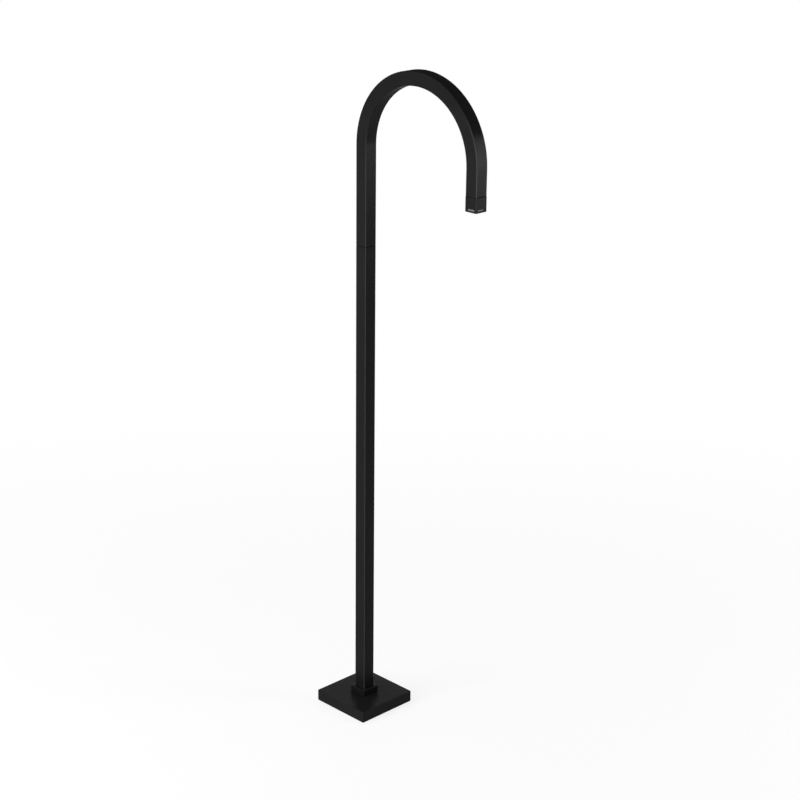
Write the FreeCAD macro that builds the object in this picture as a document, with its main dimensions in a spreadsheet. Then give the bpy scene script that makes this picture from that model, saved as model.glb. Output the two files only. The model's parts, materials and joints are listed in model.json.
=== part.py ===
import FreeCAD, Part

import os

import Sketcher

# Floor standing bath filler: a square column on a floor fixing, with a bent square spout that
# swivels on the column and ends in a square air-mixing outlet.
#
# Frame: millimetres, +Z up. The origin is on the floor, on the column's axis. The spout reaches
# along +X at rest. The rear of the column is its -X side.
#
# Every size is a cell of the sheet "dim" below; the rest is worked out from those cells by
# expressions, so that a piece always follows what carries it.

SIZES = [
    ("over_cut", 1, "how far a cut runs past the face it opens"),
    # the square tube that the column and the spout are made of
    ("tube_width", 22, "outer width of the square tube"),
    ("tube_wall", 1.5, "wall of the square tube"),
    ("tube_edge", 1.2, "radius along the tube's outer corners"),
    ("column_height", 789, "floor to the middle of the swivel joint's gap"),
    ("spout_riser", 158, "middle of the swivel joint's gap to the start of the bend"),
    ("bend_radius", 115, "radius of the bend, to the middle of the tube"),
    ("outlet_drop", 63, "start of the bend down to the outlet's lower edge"),
    # the cover over the floor fixing
    ("cover_width", 110, "width of the square base cover"),
    ("cover_height", 19, "floor to the top of the base cover"),
    ("cover_wall", 2, "side wall of the base cover"),
    ("cover_roof", 2.5, "top wall of the base cover"),
    ("cover_edge", 0.4, "radius along the base cover's outer edges"),
    ("cover_play", 0.3, "gap on each side between the cover's hole and the collar"),
    ("rim_seal_height", 1, "height of the soft strip under the cover's rim"),
    ("rim_seal_inset", 0.5, "how far the strip is set back from the cover's side"),
    # the floor fixing
    ("gasket_thickness", 2, "rubber sheet on the floor"),
    ("gasket_opening", 20, "radius of the round opening in the rubber sheet"),
    ("flange_thickness", 6, "steel floor flange"),
    ("flange_gap", 3, "gap between the flange and the cover's side wall"),
    ("flange_corner", 8, "radius of the flange's corners"),
    ("flange_edge", 0.5, "bevel round the top of the flange"),
    ("anchor_margin", 10, "flange's edge to the middle of an anchor hole"),
    ("anchor_hole", 4.5, "radius of an anchor hole"),
    # the socket block: a foot under the cover and a collar above it
    ("collar_wall", 5, "how much wider than the tube the collar is, on each side"),
    ("collar_rise", 10, "height of the collar above the cover"),
    ("collar_edge", 0.8, "radius along the collar's upright corners and top"),
    ("foot_ledge", 12, "how far the socket's foot stands out from the collar"),
    ("foot_corner", 5, "radius of the socket foot's corners"),
    ("roof_gap", 0.5, "gap between the socket's foot and the cover's top wall"),
    ("tube_play", 0.15, "gap on each side between the socket's hole and the tube"),
    ("foot_skin", 2, "socket metal above the column foot's disc"),
    ("screw_margin", 7, "socket foot's edge to the middle of a screw"),
    ("screw_radius", 2.5, "thread radius of the socket screws"),
    ("screw_head", 4.8, "head radius of the socket screws"),
    ("screw_key", 3, "across the flats of the socket screws' hexagon"),
    ("screw_key_depth", 1.8, "depth of the socket screws' hexagon"),
    ("screw_end_gap", 0.5, "how far a socket screw ends above the flange's underside"),
    ("screw_relief", 0.25, "extra radius of the holes that a screw passes through"),
    ("thread_play", 0.05, "extra radius of a tapped hole over its screw"),
    # the grub screws that lock the column
    ("grub_radius", 2.5, "thread radius of the collar's grub screws"),
    ("grub_spacing", 12, "distance between the two grub screws"),
    ("grub_recess", 0.4, "how far a grub screw sits below its face"),
    ("grub_key", 2.5, "across the flats of a grub screw's hexagon"),
    ("grub_key_depth", 2, "depth of a grub screw's hexagon"),
    # the column's foot, which takes the supply's thread
    ("inlet_radius", 9.3, "wall radius of the G1/2 inlet thread"),
    ("inlet_wall", 3.5, "wall round the inlet thread"),
    ("inlet_floor", 2, "metal above the inlet thread"),
    ("inlet_play", 0.2, "gap between the inlet boss and the flange's hole"),
    ("disc_margin", 0.5, "how far the foot's disc stands out past the tube's corners"),
    ("disc_play", 0.2, "gap round the foot's disc"),
    ("core_play", 0.1, "gap on each side between a core and the inside of the tube"),
    ("foot_core", 50, "length of the foot's core inside the tube"),
    ("waterway", 5, "radius of the plain waterway"),
    # the round water pipe inside the column, and its seals
    ("pipe_radius", 6, "outer radius of the water pipe"),
    ("pipe_wall", 1, "wall of the water pipe"),
    ("pipe_play", 0.05, "gap round the pipe in its seats"),
    ("pipe_seat", 20, "depth of each pipe seat"),
    ("pipe_end_gap", 0.5, "gap between the pipe's end and the bottom of its seat"),
    ("groove_depth", 1.4, "depth of a seal ring's groove"),
    ("groove_width", 2.2, "width of a seal ring's groove"),
    ("ring_squeeze", 0.02, "gap left each side of a seal ring"),
    ("ring_pitch", 6, "distance between the two seal rings of a pair"),
    ("ring_depth", 5, "mouth of a bore to the middle of its first seal ring"),
    # the swivel joint
    ("joint_gap", 1, "height of the gap between the column and the spout"),
    ("swing_angle", 90, "how far the spout turns each way, in degrees"),
    ("stop_slack", 1, "extra turn left in the stop groove each way, in degrees"),
    ("slip_ring_inset", 0.7, "how far the slip ring is set back from the tube's face"),
    ("slip_play", 0.05, "gap between the slip ring and the spout"),
    ("slip_bore_play", 0.3, "gap between the slip ring's bore and the swivel spigot"),
    ("bearing_depth", 27, "depth of the bearing bore in the block in the column's top"),
    ("head_web", 3, "metal between that block's bearing bore and its pipe seat"),
    ("bearing_play", 0.05, "gap round the swivel spigot in its bore"),
    ("shank_radius", 7.5, "radius of the swivel spigot"),
    ("shank_end_gap", 1, "gap below the swivel spigot"),
    ("spigot_bore", 4.5, "radius of the waterway through the swivel spigot"),
    ("spigot_core", 20, "length of the swivel spigot's square core in the spout"),
    ("stop_depth", 20, "column's top to the middle of the stop screw"),
    ("stop_radius", 2, "thread radius of the stop screw"),
    ("stop_tip", 1.5, "radius of the stop screw's dog point"),
    ("stop_tip_play", 0.2, "gap round the dog point in its groove"),
    ("stop_groove", 1.5, "depth of the groove that the dog point runs in"),
    ("stop_key", 2, "across the flats of the stop screw's hexagon"),
    ("stop_key_depth", 1.4, "depth of the stop screw's hexagon"),
    # the outlet
    ("cap_height", 22.6, "height of the square end cap"),
    ("cap_proud", 0.1, "how much wider than the tube the end cap is, on each side"),
    ("cap_wall", 1.4, "wall of the end cap round the insert"),
    ("cap_edge", 0.8, "radius along the end cap's upright corners"),
    ("cap_bevel", 0.3, "bevel round the end cap's lower edge"),
    ("cap_pocket", 12, "depth of the square pocket in the end cap"),
    ("cap_gap", 0.8, "height of the gap between the leg and the end cap"),
    ("cap_ring_inset", 0.6, "how far the spacer ring is set back from the tube's face"),
    ("slot_length", 14, "length of an air slot"),
    ("slot_height", 2.8, "height of an air slot"),
    ("slot_rise", 3.5, "outlet's lower edge to the middle of an air slot"),
    ("nipple_core", 20, "length of the outlet nipple's square core in the leg"),
    ("nipple_radius", 8.4, "radius of the outlet nipple's shank"),
    ("nipple_length", 10.8, "length of the outlet nipple's shank below the leg"),
    ("nipple_bore", 6.5, "radius of the waterway through the outlet nipple"),
    ("nipple_groove", 0.6, "depth of the groove that the cap's grub screw enters"),
    ("cap_ring_play", 0.1, "gap between the spacer ring and the nipple's shank"),
    ("cap_grub_radius", 1.5, "thread radius of the cap's grub screw"),
    ("cap_grub_depth", 5.1, "end cap's top to the middle of its grub screw"),
    ("cap_grub_key", 1.5, "across the flats of the cap's grub screw"),
    ("cap_grub_key_depth", 1, "depth of the hexagon in the cap's grub screw"),
    ("washer_thickness", 1.5, "rubber washer above the insert"),
    ("insert_play", 0.1, "gap round the insert in the end cap"),
    ("insert_recess", 0.6, "how far the insert sits up from the outlet's lower edge"),
    ("diffuser_radius", 7.9, "radius of the drilled diffuser plate"),
    ("diffuser_thickness", 1.2, "thickness of the diffuser plate"),
    ("diffuser_circle", 5, "radius of the outer ring of holes in the diffuser plate"),
    ("diffuser_hole", 0.6, "radius of a hole in the diffuser plate"),
    ("diffuser_count", 12, "number of holes in the diffuser plate's outer ring"),
    ("chamber_radius", 7, "radius of the mixing chamber in the insert"),
    ("air_hole", 0.5, "radius of an air hole in the insert"),
    ("air_pitch", 3, "distance between air holes"),
    ("air_count", 4, "number of air holes on each side"),
    ("grille_radius", 7.9, "radius of the outlet grille and the screens"),
    ("grille_thickness", 1.4, "thickness of the outlet grille"),
    ("grille_cell", 1.7, "width of a square hole in the outlet grille"),
    ("grille_pitch", 2.2, "distance between the grille's holes"),
    ("grille_count", 5, "number of grille holes along each side"),
    ("screen_thickness", 0.25, "thickness of a flow screen"),
    ("screen_gap", 0.25, "gap between the two flow screens"),
    ("screen_hole", 0.45, "radius of a hole in a flow screen"),
    ("screen_pitch", 1.5, "distance between a flow screen's holes"),
    ("screen_count", 7, "number of screen holes along each side"),
    ("seat_play", 0.1, "gap round the discs in the insert"),
]

# Lengths and heights that several pieces share, as text for the expressions.
TUBE_HALF = "(dim.tube_width / 2)"
BORE_HALF = "(dim.tube_width / 2 - dim.tube_wall)"
CORE_HALF = f"({BORE_HALF} - dim.core_play)"
COLLAR_HALF = f"({TUBE_HALF} + dim.collar_wall)"
FLANGE_HALF = "(dim.cover_width / 2 - dim.cover_wall - dim.flange_gap)"
ANCHOR_HALF = f"({FLANGE_HALF} - dim.anchor_margin)"
FOOT_HALF = f"({COLLAR_HALF} + dim.foot_ledge)"
SCREW_HALF = f"({FOOT_HALF} - dim.screw_margin)"
BOSS_RADIUS = "(dim.inlet_radius + dim.inlet_wall)"
DISC_RADIUS = f"({TUBE_HALF} * sqrt(2) + dim.disc_margin)"
PIPE_BORE = "(dim.pipe_radius + dim.pipe_play)"
RING_ROOM = "(dim.groove_depth + dim.pipe_play)"
BEARING_BORE = "(dim.shank_radius + dim.bearing_play)"

# Heights above the floor.
FLANGE_TOP = "(dim.gasket_thickness + dim.flange_thickness)"
ROOF_UNDERSIDE = "(dim.cover_height - dim.cover_roof)"
FOOT_TOP = f"({ROOF_UNDERSIDE} - dim.roof_gap)"
DISC_TOP = f"({FOOT_TOP} - dim.foot_skin)"
COLLAR_TOP = "(dim.cover_height + dim.collar_rise)"
GRUB_HEIGHT = "(dim.cover_height + dim.collar_rise / 2)"
FOOT_CORE_TOP = f"({DISC_TOP} + dim.foot_core)"
FOOT_SEAT = f"({FOOT_CORE_TOP} - dim.pipe_seat)"
COLUMN_TOP = "(dim.column_height - dim.joint_gap / 2)"
SPOUT_BOTTOM = "(dim.column_height + dim.joint_gap / 2)"
BEARING_FLOOR = f"({COLUMN_TOP} - dim.bearing_depth)"
HEAD_SEAT = f"({BEARING_FLOOR} - dim.head_web)"
HEAD_BOTTOM = f"({HEAD_SEAT} - dim.pipe_seat)"
SHANK_BOTTOM = f"({BEARING_FLOOR} + dim.shank_end_gap)"
STOP_HEIGHT = f"({COLUMN_TOP} - dim.stop_depth)"
BEND_START = "(dim.column_height + dim.spout_riser)"
OUTLET_BOTTOM = f"({BEND_START} - dim.outlet_drop)"
OUTLET_X = "(2 * dim.bend_radius)"

# The seal rings: the floor of the grooves round the pipe, each ring's radius and section, and
# the height of the lower ring of each pair.
GROOVE_FLOOR = f"({PIPE_BORE} + dim.groove_depth)"
PIPE_RING = f"(dim.pipe_radius + {RING_ROOM} / 2)"
PIPE_RING_SECTION = f"({RING_ROOM} / 2 - dim.ring_squeeze)"
SWIVEL_RING = "(dim.shank_radius - dim.groove_depth / 2)"
SWIVEL_RING_SECTION = "(dim.groove_depth / 2 - dim.ring_squeeze)"
FOOT_RING_HEIGHT = f"({FOOT_CORE_TOP} - dim.ring_depth - dim.ring_pitch)"
HEAD_RING_HEIGHT = f"({HEAD_BOTTOM} + dim.ring_depth)"
SWIVEL_RING_HEIGHT = f"({COLUMN_TOP} - dim.ring_depth - dim.ring_pitch)"
STOP_FLOOR = "(dim.shank_radius - dim.stop_groove)"

# Heights above the outlet's lower edge, for the pieces that are placed there.
CAP_HALF = f"({TUBE_HALF} + dim.cap_proud)"
INSERT_HALF = f"({CAP_HALF} - dim.cap_wall - dim.insert_play)"
LEG_END = "(dim.cap_height + dim.cap_gap)"
NIPPLE_BOTTOM = f"({LEG_END} - dim.nipple_length)"
WASHER_BOTTOM = f"({NIPPLE_BOTTOM} - dim.washer_thickness)"
DIFFUSER_BOTTOM = f"({WASHER_BOTTOM} - dim.diffuser_thickness)"
INSERT_TOP = "(dim.cap_pocket - dim.insert_play)"
GRILLE_BOTTOM = "(dim.insert_recess + dim.insert_play)"
GRILLE_TOP = f"({GRILLE_BOTTOM} + dim.grille_thickness)"
SCREENS_TOP = f"({GRILLE_TOP} + 2 * dim.screen_thickness + dim.screen_gap)"
CAP_GRUB_HEIGHT = "(dim.cap_height - dim.cap_grub_depth)"

vector = FreeCAD.Vector
doc = FreeCAD.newDocument("bath_filler")
dim = doc.addObject("Spreadsheet::Sheet", "dim")
bodies = []


# ---------------------------------------------------------------- sheet, sketches and features


def fill_sheet():
    """One row per size: what it measures, and its value under its own name."""
    for row, (name, value, meaning) in enumerate(SIZES, start=1):
        dim.set(f"A{row}", meaning)
        dim.set(f"B{row}", str(value))
        dim.setAlias(f"B{row}", name)
    doc.recompute()


def new_body(name, x="0", z="0"):
    """A body whose own origin is placed at x, z in the part's frame."""
    body = doc.addObject("PartDesign::Body", name)
    body.Label = name
    body.setExpression("Placement.Base.x", x)
    body.setExpression("Placement.Base.z", z)
    bodies.append(body)
    return body


def origin_feature(body, role):
    """One of the body's own origin planes or axes."""
    return next(item for item in body.Origin.OriginFeatures if item.Role == role)


def new_sketch(body, name, plane="XY_Plane", offset="0"):
    """A sketch on an origin plane of the body, moved along the plane's normal by offset."""
    sketch = body.newObject("Sketcher::SketchObject", name)
    sketch.AttachmentSupport = [(origin_feature(body, plane), "")]
    sketch.MapMode = "FlatFace"
    sketch.setExpression("AttachmentOffset.Base.z", offset)
    return sketch


def tie(sketch, name, kind, places, text):
    """A driving constraint whose value follows the sheet."""
    index = sketch.addConstraint(Sketcher.Constraint(kind, *places, 1.0))
    sketch.renameConstraint(index, name)
    sketch.setExpression("Constraints." + name, text)


def outline(sketch, name, points):
    """A closed outline of straight lines, each corner held at its x and y from the origin."""
    first = sketch.GeometryCount
    count = len(points)
    for step in range(count):
        start = vector(step, step * step, 0)
        after = (step + 1) % count
        end = vector(after, after * after, 0)
        sketch.addGeometry(Part.LineSegment(start, end))
    for step in range(count):
        after = (step + 1) % count
        sketch.addConstraint(
            Sketcher.Constraint("Coincident", first + step, 2, first + after, 1)
        )
    for step, (x, y) in enumerate(points):
        corner = (-1, 1, first + step, 1)
        tie(sketch, f"{name}_x{step}", "DistanceX", corner, x)
        tie(sketch, f"{name}_y{step}", "DistanceY", corner, y)


def rectangle(sketch, name, left, right, low, high):
    """A rectangle with its four sides at stated distances from the sketch's origin."""
    outline(sketch, name, [(left, low), (right, low), (right, high), (left, high)])


def square(sketch, name, half, x="0"):
    """A square with its middle at x on the sketch's first axis."""
    rectangle(sketch, name, f"{x} - {half}", f"{x} + {half}", f"-{half}", half)


def hexagon(sketch, name, flats, x="0", y="0"):
    """A regular hexagon with its middle at x, y, from its width across the flats."""
    corner = f"{flats} / sqrt(3)"
    outline(
        sketch,
        name,
        [
            (f"{x} + {corner}", y),
            (f"{x} + {corner} / 2", f"{y} + {flats} / 2"),
            (f"{x} - {corner} / 2", f"{y} + {flats} / 2"),
            (f"{x} - {corner}", y),
            (f"{x} - {corner} / 2", f"{y} - {flats} / 2"),
            (f"{x} + {corner} / 2", f"{y} - {flats} / 2"),
        ],
    )


def circle(sketch, name, radius, x="0", y="0"):
    """A circle with its centre at x, y."""
    index = sketch.addGeometry(Part.Circle(vector(0, 0, 0), vector(0, 0, 1), 1))
    tie(sketch, f"{name}_x", "DistanceX", (-1, 1, index, 3), x)
    tie(sketch, f"{name}_y", "DistanceY", (-1, 1, index, 3), y)
    tie(sketch, f"{name}_radius", "Radius", (index,), radius)


def four_circles(sketch, name, half, radius):
    """Four equal circles at the corners of a square round the origin."""
    corners = [(half, half), (f"-{half}", half), (f"-{half}", f"-{half}"), (half, f"-{half}")]
    for number, (x, y) in enumerate(corners):
        circle(sketch, f"{name}{number}", radius, x, y)


def side_axis(sketch, x):
    """A construction line at x, parallel to the sketch's second axis, to turn a profile about."""
    index = sketch.addGeometry(Part.LineSegment(vector(1, -1, 0), vector(1, 1, 0)), True)
    sketch.addConstraint(Sketcher.Constraint("Vertical", index))
    tie(sketch, "axis_x", "DistanceX", (-1, 1, index, 1), x)
    tie(sketch, "axis_low", "DistanceY", (-1, 1, index, 1), "-1")
    tie(sketch, "axis_high", "DistanceY", (-1, 1, index, 2), "1")


def volume_so_far(body):
    return body.Tip.Shape.Volume if body.Tip else 0.0


def finish_feature(body, feature, before, grows):
    """Recompute, and stop if the feature did not add, or did not remove, any material."""
    doc.recompute()
    change = feature.Shape.Volume - before
    if change == 0 or (change > 0) != grows:
        raise RuntimeError(f"{body.Label}: {feature.Name} changed the volume by {change:.3f}")
    return feature


def pad(body, sketch, length):
    """Material along the sketch's normal."""
    before = volume_so_far(body)
    feature = body.newObject("PartDesign::Pad", sketch.Name + "_pad")
    feature.Profile = sketch
    feature.setExpression("Length", length)
    return finish_feature(body, feature, before, True)


def pocket(body, sketch, length, reverse=False, both_ways=False):
    """A cut against the sketch's normal, or along it when reversed, or half each way."""
    before = volume_so_far(body)
    feature = body.newObject("PartDesign::Pocket", sketch.Name + "_cut")
    feature.Profile = sketch
    feature.Reversed = reverse
    feature.Midplane = both_ways
    feature.setExpression("Length", length)
    return finish_feature(body, feature, before, False)


def revolve(body, sketch, axis="V_Axis", angle="360"):
    """Material turned about a line of the sketch."""
    before = volume_so_far(body)
    feature = body.newObject("PartDesign::Revolution", sketch.Name + "_turn")
    feature.Profile = sketch
    feature.ReferenceAxis = (sketch, [axis])
    feature.setExpression("Angle", angle)
    return finish_feature(body, feature, before, True)


def groove(body, sketch, angle="360", both_ways=False):
    """A cut turned about the sketch's upright axis, half each way from the sketch when asked."""
    before = volume_so_far(body)
    feature = body.newObject("PartDesign::Groove", sketch.Name + "_groove")
    feature.Profile = sketch
    feature.ReferenceAxis = (sketch, ["V_Axis"])
    feature.Midplane = both_ways
    feature.setExpression("Angle", angle)
    return finish_feature(body, feature, before, False)


def row(body, originals, axis, pitch, count):
    """Copies in a row along one of the body's axes."""
    feature = body.newObject("PartDesign::LinearPattern", originals[0].Name + "_row")
    feature.Originals = originals
    feature.Direction = (origin_feature(body, axis), [""])
    feature.setExpression("Occurrences", count)
    feature.setExpression("Length", f"{pitch} * ({count} - 1)")
    body.Tip = feature
    doc.recompute()
    return feature


def grid(body, originals, pitch, count):
    """Copies in rows along the body's X and Y axes."""
    feature = row(body, originals, "X_Axis", pitch, count)
    feature.Direction2 = (origin_feature(body, "Y_Axis"), [""])
    feature.setExpression("Occurrences2", count)
    feature.setExpression("Length2", f"{pitch} * ({count} - 1)")
    doc.recompute()
    return feature


def ring_of(body, originals, count):
    """Copies round the body's Z axis."""
    feature = body.newObject("PartDesign::PolarPattern", originals[0].Name + "_ring")
    feature.Originals = originals
    feature.Axis = (origin_feature(body, "Z_Axis"), [""])
    feature.Angle = 360
    feature.setExpression("Occurrences", count)
    body.Tip = feature
    doc.recompute()
    return feature


def mirror(body, originals, plane):
    """Copies on the other side of one of the body's origin planes."""
    feature = body.newObject("PartDesign::Mirrored", originals[0].Name + "_mirror")
    feature.Originals = originals
    feature.MirrorPlane = (origin_feature(body, plane), [""])
    body.Tip = feature
    doc.recompute()
    return feature


def soften(body, kind, pick, length):
    """A fillet or a chamfer along the edges that pick chooses from the last feature's shape."""
    base = body.Tip
    chosen = pick(base.Shape)
    edges = enumerate(base.Shape.Edges, start=1)
    names = [f"Edge{number}" for number, edge in edges if any(map(edge.isSame, chosen))]
    feature = body.newObject("PartDesign::" + kind, f"{base.Name}_{kind.lower()}")
    feature.Base = (base, names)
    feature.setExpression("Radius" if kind == "Fillet" else "Size", length)
    return finish_feature(body, feature, base.Shape.Volume, False)


def near(value, target):
    return abs(value - target) < 1e-5


def corner_edges(shape):
    """The upright edges at the corners of the shape's own box."""
    box = shape.BoundBox

    def at_corner(edge):
        side = edge.BoundBox
        upright = near(side.XLength, 0) and near(side.YLength, 0)
        at_x = near(side.XMin, box.XMin) or near(side.XMin, box.XMax)
        at_y = near(side.YMin, box.YMin) or near(side.YMin, box.YMax)
        return upright and at_x and at_y

    return [edge for edge in shape.Edges if at_corner(edge)]


def top_rim(shape):
    """The outer edges of the largest face at the top of the shape."""
    top = shape.BoundBox.ZMax
    level = [face for face in shape.Faces if near(face.BoundBox.ZMin, top)]
    return max(level, key=lambda face: face.Area).OuterWire.Edges


def bottom_rim(shape):
    """The outer edges of the largest face at the bottom of the shape."""
    bottom = shape.BoundBox.ZMin
    level = [face for face in shape.Faces if near(face.BoundBox.ZMax, bottom)]
    return max(level, key=lambda face: face.Area).OuterWire.Edges


def edges_along_bent_tube(shape):
    """The outer edges that run the tube's whole way, on its two flat sides."""
    box = shape.BoundBox

    def along(edge):
        side = edge.BoundBox
        on_side = near(side.YLength, 0) and (near(side.YMin, box.YMin) or near(side.YMax, box.YMax))
        return on_side and not near(side.ZLength, 0)

    return [edge for edge in shape.Edges if along(edge)]


# ---------------------------------------------------------------- shapes that more than one piece has


def square_core(body, name, start, length):
    """A square block that fills the inside of the tube from a height."""
    shape = new_sketch(body, name, offset=start)
    square(shape, "side", CORE_HALF)
    return pad(body, shape, length)


def ring_grooves(body, name, inner, outer, lowest):
    """Two seal ring grooves turned round the body's axis, the lower one at a height."""
    shape = new_sketch(body, name, "XZ_Plane")
    low = f"{lowest} - dim.groove_width / 2"
    high = f"{lowest} + dim.groove_width / 2"
    rectangle(shape, "groove", inner, outer, low, high)
    first = groove(body, shape)
    row(body, [first], "Z_Axis", "dim.ring_pitch", "2")


def make_seal_rings(name, middle, section, lowest):
    """A pair of rubber rings: the ring's radius, its section's radius and the lower one's height."""
    body = new_body(name)
    shape = new_sketch(body, name + "_shape", "XZ_Plane")
    circle(shape, "section", section, middle, lowest)
    first = revolve(body, shape)
    row(body, [first], "Z_Axis", "dim.ring_pitch", "2")


def side_screw(body, name, outer, inner, radius, offset="0"):
    """A plain screw along X, from its outer end to its inner end, both on the rear side."""
    shape = new_sketch(body, name, "XZ_Plane", offset)
    rectangle(shape, "half", f"-{outer}", f"-{inner}", "0", radius)
    return revolve(body, shape, "H_Axis")


def side_key(body, name, outer, flats, depth, y="0"):
    """A hexagon cut into a rear side screw's outer end."""
    shape = new_sketch(body, name, "YZ_Plane", f"-{outer}")
    hexagon(shape, "key", flats, x=y)
    return pocket(body, shape, depth, reverse=True)


def rear_hole(body, name, radius, height, length, y=None):
    """A round hole from the middle of the piece out through its rear wall, or a pair at -y and y."""
    shape = new_sketch(body, name, "YZ_Plane")
    places = ["0"] if y is None else [y, f"-{y}"]
    for number, place in enumerate(places):
        circle(shape, f"hole{number}", radius, place, height)
    return pocket(body, shape, length)


# ---------------------------------------------------------------- the floor fixing


def plate_outline(body, name, start):
    """The flange's outline with its anchor holes, which the rubber sheet shares."""
    shape = new_sketch(body, name, offset=start)
    square(shape, "side", FLANGE_HALF)
    four_circles(shape, "anchor", ANCHOR_HALF, "dim.anchor_hole")
    return shape


def make_floor_gasket():
    """Rubber sheet between the flange and the floor."""
    body = new_body("floor_gasket")
    shape = plate_outline(body, "gasket_shape", "0")
    circle(shape, "opening", "dim.gasket_opening")
    pad(body, shape, "dim.gasket_thickness")
    soften(body, "Fillet", corner_edges, "dim.flange_corner")


def make_floor_flange():
    """Steel plate with four anchor holes, four tapped holes and a hole for the inlet boss."""
    body = new_body("floor_flange")
    shape = plate_outline(body, "flange_shape", "dim.gasket_thickness")
    circle(shape, "boss_hole", f"{BOSS_RADIUS} + dim.inlet_play")
    four_circles(shape, "tapped", SCREW_HALF, "dim.screw_radius + dim.thread_play")
    pad(body, shape, "dim.flange_thickness")
    soften(body, "Fillet", corner_edges, "dim.flange_corner")
    soften(body, "Chamfer", top_rim, "dim.flange_edge")


def make_base_cover():
    """Square cover, open below, with a square hole that slides over the collar."""
    body = new_body("base_cover")
    block = new_sketch(body, "cover_block", offset="dim.rim_seal_height")
    square(block, "side", "dim.cover_width / 2")
    pad(body, block, "dim.cover_height - dim.rim_seal_height")
    soften(body, "Fillet", corner_edges, "dim.cover_edge")
    soften(body, "Fillet", top_rim, "dim.cover_edge")
    inside = new_sketch(body, "cover_inside", offset="dim.rim_seal_height")
    square(inside, "side", "(dim.cover_width / 2 - dim.cover_wall)")
    pocket(body, inside, f"{ROOF_UNDERSIDE} - dim.rim_seal_height", reverse=True)
    hole = new_sketch(body, "cover_hole", offset="dim.cover_height")
    square(hole, "side", f"({COLLAR_HALF} + dim.cover_play)")
    pocket(body, hole, "dim.cover_roof")


def make_cover_rim_seal():
    """Soft square strip under the cover's rim, which meets the floor."""
    body = new_body("cover_rim_seal")
    shape = new_sketch(body, "rim_strip")
    square(shape, "outside", "(dim.cover_width / 2 - dim.rim_seal_inset)")
    square(shape, "inside", "(dim.cover_width / 2 - dim.cover_wall)")
    pad(body, shape, "dim.rim_seal_height")


# ---------------------------------------------------------------- the socket that holds the column


def make_column_socket():
    """Foot and collar in one block, with a square hole for the tube and a recess for the disc."""
    body = new_body("column_socket")
    foot = new_sketch(body, "socket_foot", offset=FLANGE_TOP)
    square(foot, "side", FOOT_HALF)
    pad(body, foot, f"{FOOT_TOP} - {FLANGE_TOP}")
    soften(body, "Fillet", corner_edges, "dim.foot_corner")
    collar = new_sketch(body, "socket_collar", offset=FOOT_TOP)
    square(collar, "side", COLLAR_HALF)
    pad(body, collar, f"{COLLAR_TOP} - {FOOT_TOP}")
    soften(body, "Fillet", collar_corners, "dim.collar_edge")
    soften(body, "Fillet", top_rim, "dim.collar_edge")
    tube_hole = new_sketch(body, "socket_hole", offset=COLLAR_TOP)
    square(tube_hole, "side", f"({TUBE_HALF} + dim.tube_play)")
    pocket(body, tube_hole, f"{COLLAR_TOP} - {FLANGE_TOP}")
    recess = new_sketch(body, "disc_recess", offset=FLANGE_TOP)
    circle(recess, "rim", f"{DISC_RADIUS} + dim.disc_play")
    pocket(body, recess, f"{DISC_TOP} - {FLANGE_TOP}", reverse=True)
    screws = new_sketch(body, "screw_holes", offset=FOOT_TOP)
    four_circles(screws, "screw", SCREW_HALF, "dim.screw_radius + dim.screw_relief")
    countersunk_holes(body, screws)
    tapped = "dim.grub_radius + dim.thread_play"
    reach = f"{COLLAR_HALF} + dim.over_cut"
    rear_hole(body, "collar_grub_holes", tapped, GRUB_HEIGHT, reach, "dim.grub_spacing / 2")


def collar_corners(shape):
    """The collar's upright corners, above the foot."""
    top = [face for face in shape.Faces if near(face.BoundBox.ZMin, shape.BoundBox.ZMax)]
    reach = top[0].BoundBox.XMax

    def upright(edge):
        side = edge.BoundBox
        at_corner = near(abs(side.XMin), reach) and near(abs(side.YMin), reach)
        return at_corner and near(side.XLength, 0) and near(side.YLength, 0)

    return [edge for edge in shape.Edges if upright(edge)]


def countersunk_holes(body, sketch):
    """Through holes on the sketch's circles, each with a seat for a 90 degree screw head."""
    before = volume_so_far(body)
    feature = body.newObject("PartDesign::Hole", "screw_seats")
    feature.Profile = sketch
    doc.recompute()
    feature.DepthType = "ThroughAll"
    feature.setExpression("Diameter", "2 * (dim.screw_radius + dim.screw_relief)")
    feature.HoleCutType = "Countersink"
    feature.setExpression("HoleCutDiameter", "2 * (dim.screw_head + dim.thread_play)")
    feature.HoleCutCountersinkAngle = 90
    finish_feature(body, feature, before, False)


def make_socket_screws():
    """Four countersunk screws that hold the socket's foot down on the flange."""
    body = new_body("socket_screws")
    shape = new_sketch(body, "screw_profile", "XZ_Plane", f"-{SCREW_HALF}")
    low = "dim.gasket_thickness + dim.screw_end_gap"
    neck = f"{FOOT_TOP} - (dim.screw_head - dim.screw_radius)"
    points = [
        (SCREW_HALF, low),
        (f"{SCREW_HALF} + dim.screw_radius", low),
        (f"{SCREW_HALF} + dim.screw_radius", neck),
        (f"{SCREW_HALF} + dim.screw_head", FOOT_TOP),
        (SCREW_HALF, FOOT_TOP),
    ]
    outline(shape, "profile", points)
    side_axis(shape, SCREW_HALF)
    screw = revolve(body, shape, "Axis0")
    key = new_sketch(body, "screw_key", offset=FOOT_TOP)
    hexagon(key, "key", "dim.screw_key", SCREW_HALF, SCREW_HALF)
    hexagon_cut = pocket(body, key, "dim.screw_key_depth")
    ring_of(body, [screw, hexagon_cut], "4")


def make_socket_grub_screws():
    """Two grub screws through the collar and the tube's rear wall, against the foot's core."""
    body = new_body("socket_grub_screws", z=GRUB_HEIGHT)
    outer = f"({COLLAR_HALF} - dim.grub_recess)"
    side = "(dim.grub_spacing / 2)"
    screw = side_screw(body, "grub_body", outer, CORE_HALF, "dim.grub_radius", f"-{side}")
    key = side_key(body, "grub_key", outer, "dim.grub_key", "dim.grub_key_depth", side)
    mirror(body, [screw, key], "XZ_Plane")


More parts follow.
